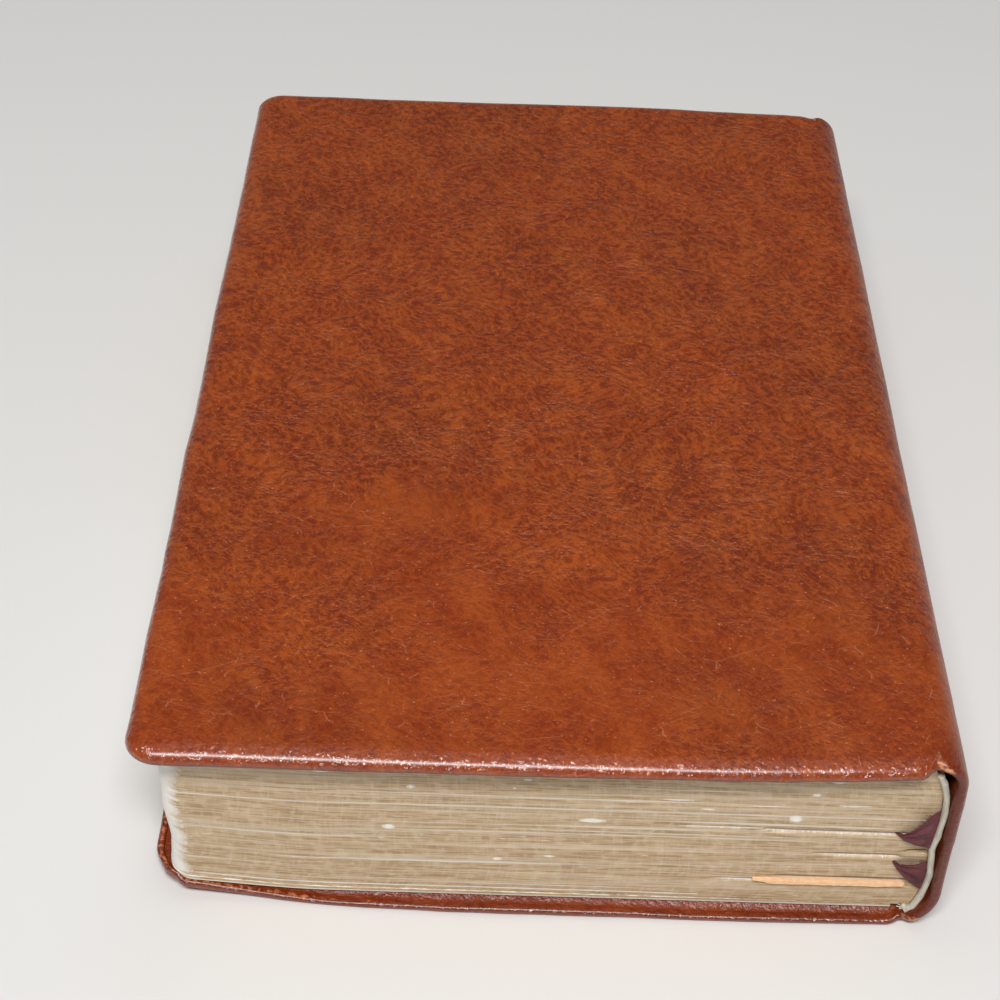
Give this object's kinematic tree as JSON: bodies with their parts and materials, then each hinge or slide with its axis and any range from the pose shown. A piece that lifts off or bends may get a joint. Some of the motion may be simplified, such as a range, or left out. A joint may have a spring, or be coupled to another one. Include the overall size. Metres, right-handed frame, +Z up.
{
  "type": "leather-bound book",
  "caption": "Closed book in limp brown leather with soft turned edges, gilt page edges, ribbon markers and covers that open on both sides.",
  "frame": {"origin": "on the surface the book lies on, under the middle of its outline", "axes": "+X from the fore-edge to the spine, +Y from the head to the tail, +Z up through the front cover"},
  "size_m": [0.147, 0.225, 0.045],
  "materials": {
    "cover_leather": "glazed, finely creased reddish-brown leather, worn pale on the edges",
    "gilt_leaves": "thin leaves with worn gilt edges",
    "endpaper": "off-white wove paper",
    "lining_paper": "brown lining paper",
    "board": "thin flexible card",
    "band_cloth": "plain cream cloth",
    "ribbon": "dark wine-red satin ribbon, frayed",
    "slip": "matt tan card"
  },
  "bodies": {
    "leaves": {"text_block": "gilt_leaves", "front_flyleaves": "endpaper", "back_flyleaves": "endpaper", "spine_mull": "band_cloth", "spine_lining": "lining_paper", "headband": "band_cloth", "tailband": "band_cloth", "ribbon_upper": "ribbon", "ribbon_lower": "ribbon", "card_slip": "slip", "spine_leather": "cover_leather", "spine_card": "board"},
    "front_cover": {"front_leather": "cover_leather", "front_board": "board", "front_pastedown": "endpaper"},
    "back_cover": {"back_leather": "cover_leather", "back_board": "board", "back_pastedown": "endpaper"}
  },
  "joints": [
    {"name": "front_cover_hinge", "type": "hinge", "parent": "leaves", "child": "front_cover", "pos_m": [0.067, 0, 0.045], "axis": [0, 1, 0], "range_deg": [0, 179.9]},
    {"name": "back_cover_hinge", "type": "hinge", "parent": "leaves", "child": "back_cover", "pos_m": [0.0699, 0, 0.0012], "axis": [0, -1, 0], "range_deg": [0, 179.9]}
  ]
}
